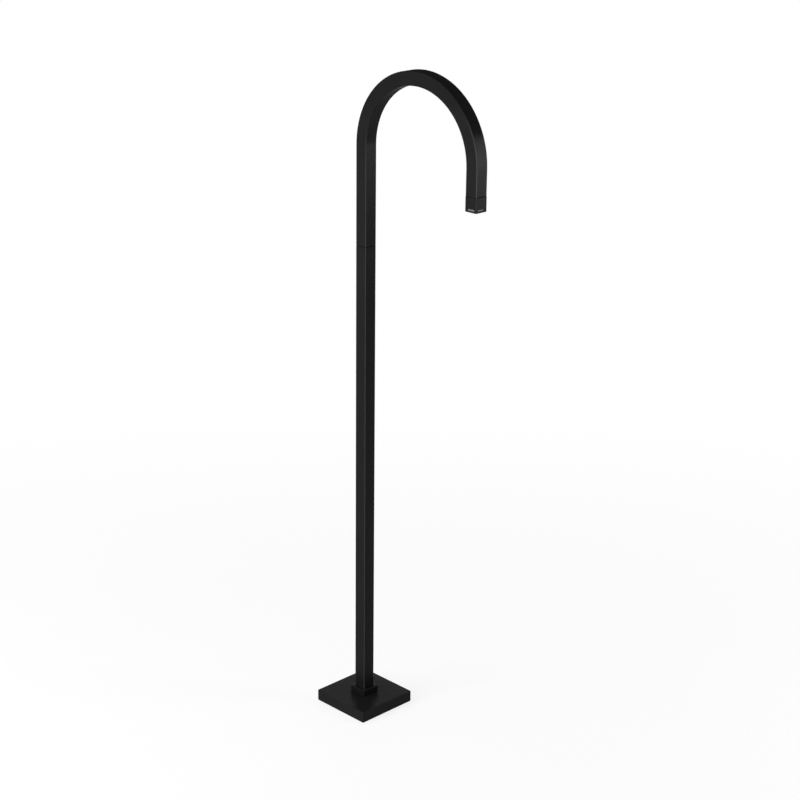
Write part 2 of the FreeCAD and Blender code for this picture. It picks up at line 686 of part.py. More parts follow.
# ---------------------------------------------------------------- the column and what it holds


def make_column_foot():
    """Brass foot: inlet thread below, a disc under the tube, a core inside it with the pipe's seat."""
    body = new_body("column_foot")
    turned = new_sketch(body, "foot_turned", "XZ_Plane")
    points = [
        ("0", "dim.gasket_thickness"),
        (BOSS_RADIUS, "dim.gasket_thickness"),
        (BOSS_RADIUS, FLANGE_TOP),
        (DISC_RADIUS, FLANGE_TOP),
        (DISC_RADIUS, DISC_TOP),
        ("0", DISC_TOP),
    ]
    outline(turned, "profile", points)
    revolve(body, turned)
    square_core(body, "foot_core_block", DISC_TOP, "dim.foot_core")
    inlet_top = f"{DISC_TOP} - dim.inlet_floor"
    water = new_sketch(body, "foot_waterway", "XZ_Plane")
    points = [
        ("0", "dim.gasket_thickness"),
        ("dim.inlet_radius", "dim.gasket_thickness"),
        ("dim.inlet_radius", inlet_top),
        ("dim.waterway", inlet_top),
        ("dim.waterway", FOOT_SEAT),
        (PIPE_BORE, FOOT_SEAT),
        (PIPE_BORE, FOOT_CORE_TOP),
        ("0", FOOT_CORE_TOP),
    ]
    outline(water, "profile", points)
    groove(body, water)
    ring_grooves(body, "foot_grooves", "dim.pipe_radius", GROOVE_FLOOR, FOOT_RING_HEIGHT)


def make_water_pipe():
    """Round pipe from the foot's seat to the head's seat."""
    body = new_body("water_pipe")
    bottom = f"({FOOT_SEAT} + dim.pipe_end_gap)"
    top = f"({HEAD_SEAT} - dim.pipe_end_gap)"
    shape = new_sketch(body, "pipe_section", offset=bottom)
    circle(shape, "outside", "dim.pipe_radius")
    circle(shape, "inside", "dim.pipe_radius - dim.pipe_wall")
    pad(body, shape, f"{top} - {bottom}")


def make_column_tube():
    """Square riser tube from the foot's disc to the swivel joint, with its rear screw holes."""
    body = new_body("column_tube")
    shape = new_sketch(body, "column_section", offset=DISC_TOP)
    square(shape, "outside", TUBE_HALF)
    square(shape, "inside", BORE_HALF)
    pad(body, shape, f"{COLUMN_TOP} - {DISC_TOP}")
    soften(body, "Fillet", corner_edges, "dim.tube_edge")
    loose = "dim.grub_radius + dim.screw_relief"
    reach = f"{TUBE_HALF} + dim.over_cut"
    rear_hole(body, "column_grub_holes", loose, GRUB_HEIGHT, reach, "dim.grub_spacing / 2")
    loose = "dim.stop_radius + dim.screw_relief"
    rear_hole(body, "column_stop_hole", loose, STOP_HEIGHT, reach)


# ---------------------------------------------------------------- the swivel joint


def make_column_head():
    """Brass block soldered in the column's top: pipe seat below, bearing bore above."""
    body = new_body("column_head")
    square_core(body, "head_block", HEAD_BOTTOM, f"{COLUMN_TOP} - {HEAD_BOTTOM}")
    water = new_sketch(body, "head_waterway", "XZ_Plane")
    points = [
        ("0", HEAD_BOTTOM),
        (PIPE_BORE, HEAD_BOTTOM),
        (PIPE_BORE, HEAD_SEAT),
        ("dim.waterway", HEAD_SEAT),
        ("dim.waterway", BEARING_FLOOR),
        (BEARING_BORE, BEARING_FLOOR),
        (BEARING_BORE, COLUMN_TOP),
        ("0", COLUMN_TOP),
    ]
    outline(water, "profile", points)
    groove(body, water)
    ring_grooves(body, "head_grooves", "dim.pipe_radius", GROOVE_FLOOR, HEAD_RING_HEIGHT)
    tapped = "dim.stop_radius + dim.thread_play"
    rear_hole(body, "head_stop_hole", tapped, STOP_HEIGHT, f"{TUBE_HALF} + dim.over_cut")


def make_slip_ring():
    """Low-friction ring on the column's top, which the spout's lower end turns on."""
    body = new_body("slip_ring")
    shape = new_sketch(body, "slip_shape", offset=COLUMN_TOP)
    square(shape, "side", f"({TUBE_HALF} - dim.slip_ring_inset)")
    circle(shape, "bore", "dim.shank_radius + dim.slip_bore_play")
    pad(body, shape, "dim.joint_gap - dim.slip_play")


def make_swivel_spigot():
    """Brass spigot soldered in the spout's lower end: it turns in the head, held by the stop screw."""
    body = new_body("swivel_spigot")
    square_core(body, "spigot_core_block", SPOUT_BOTTOM, "dim.spigot_core")
    shank = new_sketch(body, "spigot_shank", offset=SHANK_BOTTOM)
    circle(shank, "outside", "dim.shank_radius")
    pad(body, shank, f"{SPOUT_BOTTOM} - {SHANK_BOTTOM}")
    water = new_sketch(body, "spigot_waterway", offset=SHANK_BOTTOM)
    circle(water, "inside", "dim.spigot_bore")
    through = f"{SPOUT_BOTTOM} + dim.spigot_core - {SHANK_BOTTOM}"
    pocket(body, water, through, reverse=True)
    floor = "(dim.shank_radius - dim.groove_depth)"
    open_side = "(dim.shank_radius + dim.over_cut)"
    ring_grooves(body, "spigot_grooves", floor, open_side, SWIVEL_RING_HEIGHT)
    stop = new_sketch(body, "stop_track", "XZ_Plane")
    half_width = "(dim.stop_tip + dim.stop_tip_play)"
    low = f"{STOP_HEIGHT} - {half_width}"
    high = f"{STOP_HEIGHT} + {half_width}"
    rectangle(stop, "track", f"-{open_side}", f"-{STOP_FLOOR}", low, high)
    swing = f"2 * (dim.swing_angle + dim.stop_slack) * 1deg + 2 * asin(dim.stop_tip / {STOP_FLOOR})"
    groove(body, stop, swing, both_ways=True)


def make_swivel_stop_screw():
    """Dog-point screw in the column's rear: its tip runs in the spigot's part groove."""
    body = new_body("swivel_stop_screw", z=STOP_HEIGHT)
    outer = f"({TUBE_HALF} - dim.grub_recess)"
    shoulder = f"({BEARING_BORE} + dim.screw_relief)"
    tip_end = f"({STOP_FLOOR} + dim.stop_tip_play)"
    shape = new_sketch(body, "stop_profile", "XZ_Plane")
    points = [
        (f"-{outer}", "0"),
        (f"-{outer}", "dim.stop_radius"),
        (f"-{shoulder}", "dim.stop_radius"),
        (f"-{shoulder}", "dim.stop_tip"),
        (f"-{tip_end}", "dim.stop_tip"),
        (f"-{tip_end}", "0"),
    ]
    outline(shape, "profile", points)
    revolve(body, shape, "H_Axis")
    side_key(body, "stop_key", outer, "dim.stop_key", "dim.stop_key_depth")


# ---------------------------------------------------------------- the spout


def make_spout_tube():
    """One bent square tube: upper riser, half-circle bend and outlet leg."""
    body = new_body("spout_tube")
    riser = new_sketch(body, "riser_section", offset=SPOUT_BOTTOM)
    tube_section(riser)
    pad(body, riser, f"{BEND_START} - {SPOUT_BOTTOM}")
    bend = new_sketch(body, "bend_section", offset=BEND_START)
    tube_section(bend)
    side_axis(bend, "dim.bend_radius")
    turn = revolve(body, bend, "Axis0", "180")
    if turn.Shape.BoundBox.ZMax < dim.column_height + dim.spout_riser + dim.bend_radius:
        raise RuntimeError("the bend does not rise above the riser")
    leg_end = f"({OUTLET_BOTTOM} + {LEG_END})"
    leg = new_sketch(body, "leg_section", offset=leg_end)
    tube_section(leg, OUTLET_X)
    pad(body, leg, f"{BEND_START} - {leg_end}")
    soften(body, "Fillet", edges_along_bent_tube, "dim.tube_edge")


def tube_section(sketch, x="0"):
    """The hollow square section of the tube, with its middle at x."""
    square(sketch, "outside", TUBE_HALF, x)
    square(sketch, "inside", BORE_HALF, x)


# ---------------------------------------------------------------- the outlet


def new_outlet_body(name, rise="0"):
    """A body whose origin is on the outlet's axis, rise above the outlet's lower edge."""
    return new_body(name, OUTLET_X, f"{OUTLET_BOTTOM} + {rise}")


def make_outlet_nipple():
    """Brass insert soldered in the leg's end, with a round shank that the end cap goes over."""
    body = new_outlet_body("outlet_nipple")
    square_core(body, "nipple_core_block", LEG_END, "dim.nipple_core")
    shank = new_sketch(body, "nipple_shank", offset=NIPPLE_BOTTOM)
    circle(shank, "outside", "dim.nipple_radius")
    pad(body, shank, "dim.nipple_length")
    water = new_sketch(body, "nipple_waterway", offset=NIPPLE_BOTTOM)
    circle(water, "inside", "dim.nipple_bore")
    pocket(body, water, "dim.nipple_length + dim.nipple_core", reverse=True)
    track = new_sketch(body, "nipple_track", "XZ_Plane")
    half_width = "(dim.cap_grub_radius + dim.thread_play)"
    low = f"{CAP_GRUB_HEIGHT} - {half_width}"
    high = f"{CAP_GRUB_HEIGHT} + {half_width}"
    floor = "dim.nipple_radius - dim.nipple_groove"
    rectangle(track, "track", floor, "dim.nipple_radius + dim.over_cut", low, high)
    groove(body, track)


def make_cap_spacer():
    """Dark ring in the thin gap between the leg and the end cap."""
    body = new_outlet_body("cap_spacer")
    shape = new_sketch(body, "spacer_shape", offset="dim.cap_height")
    square(shape, "side", f"({TUBE_HALF} - dim.cap_ring_inset)")
    circle(shape, "bore", "dim.nipple_radius + dim.cap_ring_play")
    pad(body, shape, "dim.cap_gap")


def make_aerator_housing():
    """Square end cap: a bore over the nipple, a pocket for the insert and an air slot in each face."""
    body = new_outlet_body("aerator_housing")
    block = new_sketch(body, "cap_block")
    square(block, "side", CAP_HALF)
    pad(body, block, "dim.cap_height")
    soften(body, "Fillet", corner_edges, "dim.cap_edge")
    soften(body, "Chamfer", bottom_rim, "dim.cap_bevel")
    pocket_shape = new_sketch(body, "cap_pocket_shape")
    square(pocket_shape, "side", f"({CAP_HALF} - dim.cap_wall)")
    pocket(body, pocket_shape, "dim.cap_pocket", reverse=True)
    bore = new_sketch(body, "cap_bore", offset="dim.cap_height")
    circle(bore, "inside", "dim.nipple_radius + dim.thread_play")
    pocket(body, bore, "dim.cap_height - dim.cap_pocket")
    for plane in ("YZ_Plane", "XZ_Plane"):
        slot = new_sketch(body, f"slots_{plane[:2].lower()}", plane)
        low = "dim.slot_rise - dim.slot_height / 2"
        high = "dim.slot_rise + dim.slot_height / 2"
        rectangle(slot, "slot", "-dim.slot_length / 2", "dim.slot_length / 2", low, high)
        pocket(body, slot, f"2 * ({CAP_HALF} + dim.over_cut)", both_ways=True)
    tapped = "dim.cap_grub_radius + dim.thread_play"
    rear_hole(body, "cap_grub_hole", tapped, CAP_GRUB_HEIGHT, f"{CAP_HALF} + dim.over_cut")


def make_cap_grub_screw():
    """Small grub screw in the end cap's rear, which holds it on the nipple."""
    body = new_outlet_body("cap_grub_screw", CAP_GRUB_HEIGHT)
    outer = f"({CAP_HALF} - dim.grub_recess)"
    inner = "(dim.nipple_radius - dim.nipple_groove + dim.thread_play)"
    side_screw(body, "cap_grub_body", outer, inner, "dim.cap_grub_radius")
    side_key(body, "cap_grub_key", outer, "dim.cap_grub_key", "dim.cap_grub_key_depth")


def make_aerator_washer():
    """Rubber washer between the nipple's end and the insert."""
    body = new_outlet_body("aerator_washer")
    shape = new_sketch(body, "washer_shape", offset=WASHER_BOTTOM)
    circle(shape, "outside", "dim.nipple_radius")
    circle(shape, "inside", "dim.nipple_bore")
    pad(body, shape, "dim.washer_thickness")


def make_diffuser_plate():
    """Drilled disc under the washer, which breaks the flow up."""
    body = new_outlet_body("diffuser_plate")
    shape = new_sketch(body, "diffuser_shape", offset=DIFFUSER_BOTTOM)
    circle(shape, "outside", "dim.diffuser_radius")
    pad(body, shape, "dim.diffuser_thickness")
    hole = new_sketch(body, "diffuser_holes", offset=WASHER_BOTTOM)
    circle(hole, "hole", "dim.diffuser_hole", "dim.diffuser_circle")
    first = pocket(body, hole, "dim.diffuser_thickness")
    ring_of(body, [first], "dim.diffuser_count")


def make_aerator_insert():
    """Pale square insert in the end cap: seats for the discs, a mixing chamber and air holes."""
    body = new_outlet_body("aerator_insert")
    block = new_sketch(body, "insert_block", offset="dim.insert_recess")
    square(block, "side", INSERT_HALF)
    pad(body, block, f"{INSERT_TOP} - dim.insert_recess")
    chamber = new_sketch(body, "insert_chamber", "XZ_Plane")
    grille_seat = "dim.grille_radius + dim.seat_play"
    seat_top = f"{SCREENS_TOP} + dim.seat_play"
    diffuser_seat = "dim.diffuser_radius + dim.seat_play"
    washer_seat = "dim.nipple_radius + dim.seat_play"
    points = [
        ("0", "dim.insert_recess"),
        (grille_seat, "dim.insert_recess"),
        (grille_seat, seat_top),
        ("dim.chamber_radius", seat_top),
        ("dim.chamber_radius", DIFFUSER_BOTTOM),
        (diffuser_seat, DIFFUSER_BOTTOM),
        (diffuser_seat, WASHER_BOTTOM),
        (washer_seat, WASHER_BOTTOM),
        (washer_seat, INSERT_TOP),
        ("0", INSERT_TOP),
    ]
    outline(chamber, "profile", points)
    groove(body, chamber)
    first_place = "dim.air_pitch * (dim.air_count - 1) / 2"
    for plane, axis in (("YZ_Plane", "Y_Axis"), ("XZ_Plane", "X_Axis")):
        air = new_sketch(body, f"air_{plane[:2].lower()}", plane)
        circle(air, "hole", "dim.air_hole", f"-{first_place}", "dim.slot_rise")
        first = pocket(body, air, f"2 * ({INSERT_HALF} + dim.over_cut)", both_ways=True)
        row(body, [first], axis, "dim.air_pitch", "dim.air_count")


def make_flow_screens():
    """Two fine round screens on the outlet grille, one above the other."""
    body = new_outlet_body("flow_screens")
    upper = f"({GRILLE_TOP} + dim.screen_thickness + dim.screen_gap)"
    for name, start in (("lower_screen", GRILLE_TOP), ("upper_screen", upper)):
        disc = new_sketch(body, name, offset=start)
        circle(disc, "outside", "dim.grille_radius")
        pad(body, disc, "dim.screen_thickness")
    hole = new_sketch(body, "screen_holes", offset=SCREENS_TOP)
    corner = "-dim.screen_pitch * (dim.screen_count - 1) / 2"
    circle(hole, "hole", "dim.screen_hole", corner, corner)
    first = pocket(body, hole, f"{SCREENS_TOP} - {GRILLE_TOP}")
    grid(body, [first], "dim.screen_pitch", "dim.screen_count")


def make_outlet_grille():
    """Round grille of square cells at the mouth, which straightens the stream."""
    body = new_outlet_body("outlet_grille")
    disc = new_sketch(body, "grille_disc", offset=GRILLE_BOTTOM)
    circle(disc, "outside", "dim.grille_radius")
    pad(body, disc, "dim.grille_thickness")
    cell = new_sketch(body, "grille_cell_shape", offset=GRILLE_TOP)
    corner = "-dim.grille_pitch * (dim.grille_count - 1) / 2"
    low = f"{corner} - dim.grille_cell / 2"
    high = f"{corner} + dim.grille_cell / 2"
    rectangle(cell, "cell", low, high, low, high)
    first = pocket(body, cell, "dim.grille_thickness")
    grid(body, [first], "dim.grille_pitch", "dim.grille_count")


# ---------------------------------------------------------------- the whole part


def check_and_write():
    """Stop on any failed object or broken solid, then write one file for each body."""
    doc.recompute()
    for item in doc.Objects:
        if "Invalid" in item.State or "Error" in item.State:
            raise RuntimeError(f"{item.Name} is in state {item.State}")
    os.makedirs("parts", exist_ok=True)
    for body in bodies:
        shape = body.Shape
        if shape.isNull() or not shape.isValid() or not shape.Solids:
            raise RuntimeError(f"{body.Label} is not a valid solid")
        shape.exportStep(f"parts/{body.Label}.step")
        print(f"{body.Label}: {len(shape.Solids)} solid, {shape.Volume:.1f} mm3")


fill_sheet()
make_floor_gasket()
make_floor_flange()
make_base_cover()
make_cover_rim_seal()
make_column_socket()
make_socket_screws()
make_socket_grub_screws()
make_column_foot()
make_seal_rings("foot_seal_rings", PIPE_RING, PIPE_RING_SECTION, FOOT_RING_HEIGHT)
make_water_pipe()
make_column_tube()
make_column_head()
make_seal_rings("head_seal_rings", PIPE_RING, PIPE_RING_SECTION, HEAD_RING_HEIGHT)
make_slip_ring()
make_swivel_spigot()
make_seal_rings("swivel_seal_rings", SWIVEL_RING, SWIVEL_RING_SECTION, SWIVEL_RING_HEIGHT)
make_swivel_stop_screw()
make_spout_tube()
make_outlet_nipple()
make_cap_spacer()
make_aerator_housing()
make_cap_grub_screw()
make_aerator_washer()
make_diffuser_plate()
make_aerator_insert()
make_flow_screens()
make_outlet_grille()
check_and_write()
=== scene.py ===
"""Floor standing bath filler: a square black column on a floor cover, with a bent square spout.

Metres, +Z up. The origin is on the floor, on the column's axis, and the spout reaches along +X.
The frame brings every rigid piece. This script bends the spout's tube afresh as a smooth surface,
gives each piece its finish, and sets up the floor, the lamps and the camera.
"""

import json
import math

import bpy
import numpy as np
from bpy.props import FloatProperty, FloatVectorProperty, IntProperty, PointerProperty
from mathutils import Matrix, Vector


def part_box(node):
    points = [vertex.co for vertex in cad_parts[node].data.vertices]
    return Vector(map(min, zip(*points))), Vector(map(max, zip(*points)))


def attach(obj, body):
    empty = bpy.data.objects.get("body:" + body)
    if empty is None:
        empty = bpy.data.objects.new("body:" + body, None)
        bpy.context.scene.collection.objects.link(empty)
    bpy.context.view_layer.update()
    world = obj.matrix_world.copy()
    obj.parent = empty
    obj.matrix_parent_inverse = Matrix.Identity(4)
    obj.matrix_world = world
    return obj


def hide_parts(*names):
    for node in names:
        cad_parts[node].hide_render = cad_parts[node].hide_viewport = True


bl_info = {
    "name": "Square Bath Filler",
    "version": (1, 0, 0),
    "blender": (4, 5, 0),
    "location": "View3D > Sidebar > Bath Filler",
    "description": "Floor standing bath filler with a swivelling square spout",
    "category": "Add Mesh",
}

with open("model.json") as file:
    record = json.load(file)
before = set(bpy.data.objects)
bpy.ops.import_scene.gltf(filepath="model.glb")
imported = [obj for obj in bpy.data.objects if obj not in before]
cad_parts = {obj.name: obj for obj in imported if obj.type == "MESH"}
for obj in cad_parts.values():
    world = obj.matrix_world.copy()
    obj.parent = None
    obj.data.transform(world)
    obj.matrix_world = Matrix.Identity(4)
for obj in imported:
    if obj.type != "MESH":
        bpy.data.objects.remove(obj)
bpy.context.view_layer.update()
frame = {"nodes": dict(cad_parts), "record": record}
SPOUT_LOW, SPOUT_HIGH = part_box("spout_tube")
SPOUT_WIDTH = SPOUT_HIGH.y - SPOUT_LOW.y
LEG_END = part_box("cap_spacer")[1].z


# ------------------------------------------------------------------ sizes and colours to change


def length(name, description, default):
    return FloatProperty(
        name=name, description=description, default=default, min=0.0, precision=5, unit="LENGTH"
    )


def share(name, description, default):
    return FloatProperty(
        name=name, description=description, default=default, min=0.0, max=1.0, subtype="FACTOR"
    )


def strength(name, description, default):
    return FloatProperty(name=name, description=description, default=default, min=0.0)


def power(name, description, default):
    return FloatProperty(
        name=name, description=description, default=default, min=0.0, unit="POWER"
    )


def colour(name, description, default):
    return FloatVectorProperty(
        name=name, description=description, default=default, size=3, min=0.0, max=1.0,
        subtype="COLOR",
    )


class SpoutSizes(bpy.types.PropertyGroup):
    """The bent square tube of the spout."""

    width: length("Tube width", "Outer width of the square tube", SPOUT_WIDTH)
    wall: length("Tube wall", "Thickness of the tube's wall", 0.0015)
    corner: length("Corner radius", "Radius along the tube's outer corners", 0.0012)
    bore_corner: length("Bore corner", "Radius along the corners inside the tube", 0.0003)
    rim_bevel: length("Rim bevel", "Bevel round the tube's cut ends", 0.0002)
    bend: length(
        "Bend radius",
        "Radius of the bend, to the middle of the tube",
        (SPOUT_HIGH.x - SPOUT_LOW.x - SPOUT_WIDTH) / 2,
    )
    bend_steps: IntProperty(
        name="Bend steps", description="Rings of points round the bend", default=120, min=12
    )
    corner_steps: IntProperty(
        name="Corner steps", description="Steps round each corner of the tube", default=8, min=2
    )


class FinishColours(bpy.types.PropertyGroup):
    """What the pieces are coated with or made of."""

    coat: colour("Black coat", "Satin black powder coat", (0.008, 0.008, 0.0082))
    # Partly the colour of corners scuffed by use and partly a painted highlight along them.
    coat_edge_and_highlight: colour("Coat edge", "The coat where its edges are rubbed", (0.04, 0.04, 0.041))
    coat_roughness: share("Coat roughness", "Roughness of the powder coat", 0.26)
    bend_roughness: share("Bend roughness", "Roughness of the coat up on the bend", 0.65)
    coat_gloss: share("Coat gloss", "Strength of the powder coat's reflection", 0.04)
    brass: colour("Brass", "Machined brass of the water fittings", (0.74, 0.56, 0.27))
    zinc: colour("Zinc", "Zinc plating on the floor flange", (0.6, 0.61, 0.62))
    stainless: colour("Stainless steel", "Drawn pipe and woven screens", (0.62, 0.62, 0.61))
    black_steel: colour("Black steel", "Black oxide on the screws", (0.03, 0.03, 0.032))
    rubber: colour("Rubber", "Sheet, strip and seal rings", (0.018, 0.018, 0.018))
    black_plastic: colour("Black plastic", "Slip ring and spacer ring", (0.003, 0.003, 0.003))
    pale_plastic: colour("Pale plastic", "Insert, diffuser and grille", (0.17, 0.173, 0.17))


class StageLook(bpy.types.PropertyGroup):
    """The floor, the lamps and the camera."""

    floor: colour("Floor", "Colour of the floor", (0.9, 0.9, 0.9))
    floor_glow: share(
        "Floor whiteness", "Share of plain white in the floor near the object, as it is seen", 0.8
    )
    room: strength("Room light", "Strength of the grey room above the horizon", 0.15)
    overhead: strength("Overhead", "Strength of the soft light from above", 1.2)
    side_box: power("Side softbox", "Power of the softbox on the outlet's side", 11.0)
    front_box: power("Front softbox", "Power of the softbox on the camera's left", 45.0)
    rear_card: power("Rear card", "Power of the low card behind the object", 13.5)
    left_card: power("Left card", "Power of the low card on the camera's left", 1.5)
    near_card: power("Near card", "Power of the low card below the camera", 1.0)
    focal: FloatProperty(
        name="Lens", description="Focal length of the lens", default=85.26, min=1.0, unit="CAMERA"
    )


# ------------------------------------------------------------------ surfaces


def square_outline(half, corner, steps):
    """Places round a square with rounded corners, anticlockwise as the tube's start is seen.

    Each corner is a quarter circle round a centre that lies half minus corner out along both
    axes. A place just beside each end of the quarter keeps the flat sides flat when shaded.
    """
    quarter = np.linspace(0, math.pi / 2, steps + 1)
    angle = quarter[None, :] + np.arange(4)[:, None] * math.pi / 2
    middle = np.arange(4)[:, None] * math.pi / 2 + math.pi / 4
    reach = (half - corner) * math.sqrt(2)
    x = reach * np.cos(middle) + corner * np.cos(angle)
    y = reach * np.sin(middle) + corner * np.sin(angle)
    arc = np.stack([x, y], axis=-1)
    beside = corner / 6
    back = np.stack([np.sin(angle), -np.cos(angle)], axis=-1) * beside
    before = arc[:, :1] + back[:, :1]
    after = arc[:, -1:] - back[:, -1:]
    return np.concatenate([before, arc, after], axis=1).reshape(-1, 2)


def bent_path(bend, start, spring, end, steps):
    """Points down the middle of the tube, and the direction across it towards the bend's middle.

    The point climbs from start to spring, goes round a half circle of the bend's radius, and
    comes down to end: (R - R cos a, 0, spring + R sin a) with a from 0 to a half turn. The
    direction across is (cos a, 0, -sin a). A place just outside each end of the half circle
    keeps the straight runs flat when shaded.
    """
    hold = bend / 200
    turn = np.linspace(0, math.pi, steps + 1)
    a = np.concatenate([[0, 0], turn, [math.pi, math.pi]])
    arc = spring + bend * np.sin(turn)
    rise = np.concatenate([[start, spring - hold], arc, [spring - hold, end]])
    points = np.stack([bend - bend * np.cos(a), np.zeros_like(a), rise], axis=1)
    across = np.stack([np.cos(a), np.zeros_like(a), -np.sin(a)], axis=1)
    return points, across


def carried(outline, points, across):
    """The outline carried along the path: point + x * across + y * the Y axis, for every pair."""
    sideways = outline[None, :, 0, None] * across[:, None, :]
    upright = outline[None, :, 1, None] * np.array([0.0, 1.0, 0.0])
    return points[:, None, :] + sideways + upright


def closed_mesh(name, grid):
    """A mesh of four-sided faces from grid[ring, place], closed on itself both ways."""
    rings, places = grid.shape[:2]
    here = np.arange(rings * places).reshape(rings, places)
    next_ring = np.roll(here, -1, axis=0)
    corners = [here, np.roll(here, -1, axis=1), np.roll(next_ring, -1, axis=1), next_ring]
    faces = np.stack(corners, axis=-1).reshape(-1, 4)
    mesh = bpy.data.meshes.new(name)
    mesh.from_pydata(grid.reshape(-1, 3).tolist(), [], faces.tolist())
    mesh.validate()
    mesh.shade_smooth()
    mesh.set_sharp_from_angle(angle=math.radians(30))
    return mesh


def bent_tube(name, sizes, start, spring, end):
    """A hollow square tube along the bent path, as one closed surface.

    Its rings run over the outside from the start to the end, turn in over the cut end, and
    run back along the bore. The outside is set in by the bevel at both rims.
    """
    half = sizes.width / 2
    bevel = sizes.rim_bevel
    full = square_outline(half, sizes.corner, sizes.corner_steps)
    small = square_outline(half - bevel, sizes.corner - bevel, sizes.corner_steps)
    bore = square_outline(half - sizes.wall, sizes.bore_corner, sizes.corner_steps)
    outside = bent_path(sizes.bend, start + bevel, spring, end + bevel, sizes.bend_steps)
    inside = bent_path(sizes.bend, start, spring, end, sizes.bend_steps)
    rim = carried(small, *inside)
    skin = carried(full, *outside)
    hollow = carried(bore, *inside)[::-1]
    return closed_mesh(name, np.concatenate([rim[:1], skin, rim[-1:], hollow]))


# ------------------------------------------------------------------ node helpers


def math_node(tree, operation, first, second=0.0, clamp=False):
    """One Math node on one or two values, each a number or an output."""
    node = tree.nodes.new("ShaderNodeMath")
    node.operation = operation
    node.use_clamp = clamp
    for socket, value in zip(node.inputs, (first, second)):
        feed(tree, value, socket)
    return node.outputs[0]


def feed(tree, value, socket):
    """Links an output to the socket, or sets the socket to a plain value."""
    if isinstance(value, bpy.types.NodeSocket):
        tree.links.new(value, socket)
    else:
        socket.default_value = value


def between(tree, mask, low, high, span=(0.0, 1.0)):
    """A value that goes from low to high as the mask goes over its span."""
    node = tree.nodes.new("ShaderNodeMapRange")
    feed(tree, mask, node.inputs["Value"])
    node.inputs["From Min"].default_value, node.inputs["From Max"].default_value = span
    node.inputs["To Min"].default_value = low
    node.inputs["To Max"].default_value = high
    return node.outputs["Result"]


def blend_colours(tree, mask, low, high):
    """A colour that goes from low to high as the mask goes from 0 to 1."""
    node = tree.nodes.new("ShaderNodeMix")
    node.data_type = "RGBA"
    feed(tree, mask, node.inputs["Factor"])
    colours = [s for s in node.inputs if s.type == "RGBA"]
    for socket, value in zip(colours, (low, high)):
        feed(tree, value if isinstance(value, bpy.types.NodeSocket) else (*value, 1.0), socket)
    return next(s for s in node.outputs if s.type == "RGBA")


def noise(tree, place, scale, detail, roughness=0.5):
    """Soft noise from 0 to 1 at a number of features per metre."""
    node = tree.nodes.new("ShaderNodeTexNoise")
    feed(tree, place, node.inputs["Vector"])
    feed(tree, scale, node.inputs["Scale"])
    node.inputs["Detail"].default_value = detail
    node.inputs["Roughness"].default_value = roughness
    return node.outputs["Fac"]


def new_group(name, inputs, outputs):
    """A node group with named inputs, each with its default, and named outputs."""
    tree = bpy.data.node_groups.new(name, "ShaderNodeTree")
    for socket_name, kind, default in inputs:
        socket = tree.interface.new_socket(socket_name, in_out="INPUT", socket_type=kind)
        if default is not None:
            socket.default_value = default
    for socket_name, kind in outputs:
        tree.interface.new_socket(socket_name, in_out="OUTPUT", socket_type=kind)
    return tree, tree.nodes.new("NodeGroupInput"), tree.nodes.new("NodeGroupOutput")


FLOAT, VECTOR = "NodeSocketFloat", "NodeSocketVector"


def rubbed_edges_group():
    """A mask that is 1 along rounded-over edges and 0 on flat places, broken up by noise.

    The bevelled normal leaves the surface's own near an edge, so one minus their dot product
    is high there. Contrast makes that difference reach 1.
    """
    contrast, patch_low, patch_high = 9.0, 0.45, 1.15
    tree, given, put = new_group(
        "rubbed_edges",
        [("Place", VECTOR, None), ("Reach", FLOAT, 0.001), ("Patches", FLOAT, 90.0)],
        [("Mask", FLOAT)],
    )
    bevel = tree.nodes.new("ShaderNodeBevel")
    bevel.samples = 6
    tree.links.new(given.outputs["Reach"], bevel.inputs["Radius"])
    surface = tree.nodes.new("ShaderNodeNewGeometry")
    dot = tree.nodes.new("ShaderNodeVectorMath")
    dot.operation = "DOT_PRODUCT"
    tree.links.new(bevel.outputs["Normal"], dot.inputs[0])
    tree.links.new(surface.outputs["Normal"], dot.inputs[1])
    turned = math_node(tree, "SUBTRACT", 1.0, dot.outputs["Value"])
    sharp = math_node(tree, "MULTIPLY", turned, contrast, clamp=True)
    spots = noise(tree, given.outputs["Place"], given.outputs["Patches"], 3.0)
    patches = between(tree, spots, patch_low, patch_high)
    broken = math_node(tree, "MULTIPLY", sharp, patches, clamp=True)
    tree.links.new(broken, put.inputs["Mask"])
    return tree


def rounded_corners_group():
    """A mask that is 1 halfway round a rounded corner of a square piece and 0 on its flat faces.

    With n a part of the piece's own normal, 2 |n| sqrt(1 - n n) is 0 where the surface faces
    along that axis or across it, and 1 halfway between. The Y part finds a bent tube's long
    corners, and the Z part, weighed by Level, finds the corners round a level face.
    """
    contrast, patch_low, patch_high = 2.6, 0.8, 1.1
    tree, given, put = new_group(
        "rounded_corners",
        [("Normal", VECTOR, None), ("Place", VECTOR, None), ("Level", FLOAT, 1.0)],
        [("Mask", FLOAT)],
    )
    parts = tree.nodes.new("ShaderNodeSeparateXYZ")
    tree.links.new(given.outputs["Normal"], parts.inputs[0])
    found = []
    for axis in "YZ":
        size = math_node(tree, "ABSOLUTE", parts.outputs[axis])
        square = math_node(tree, "MULTIPLY", size, size)
        rest = math_node(tree, "SUBTRACT", 1.0, square, clamp=True)
        side = math_node(tree, "MULTIPLY", size, math_node(tree, "SQRT", rest))
        found.append(math_node(tree, "MULTIPLY", side, contrast, clamp=True))
    level = math_node(tree, "MULTIPLY", found[1], given.outputs["Level"])
    either = math_node(tree, "MAXIMUM", found[0], level)
    spots = noise(tree, given.outputs["Place"], 60.0, 3.0)
    patches = between(tree, spots, patch_low, patch_high)
    tree.links.new(math_node(tree, "MULTIPLY", either, patches, clamp=True), put.inputs["Mask"])
    return tree


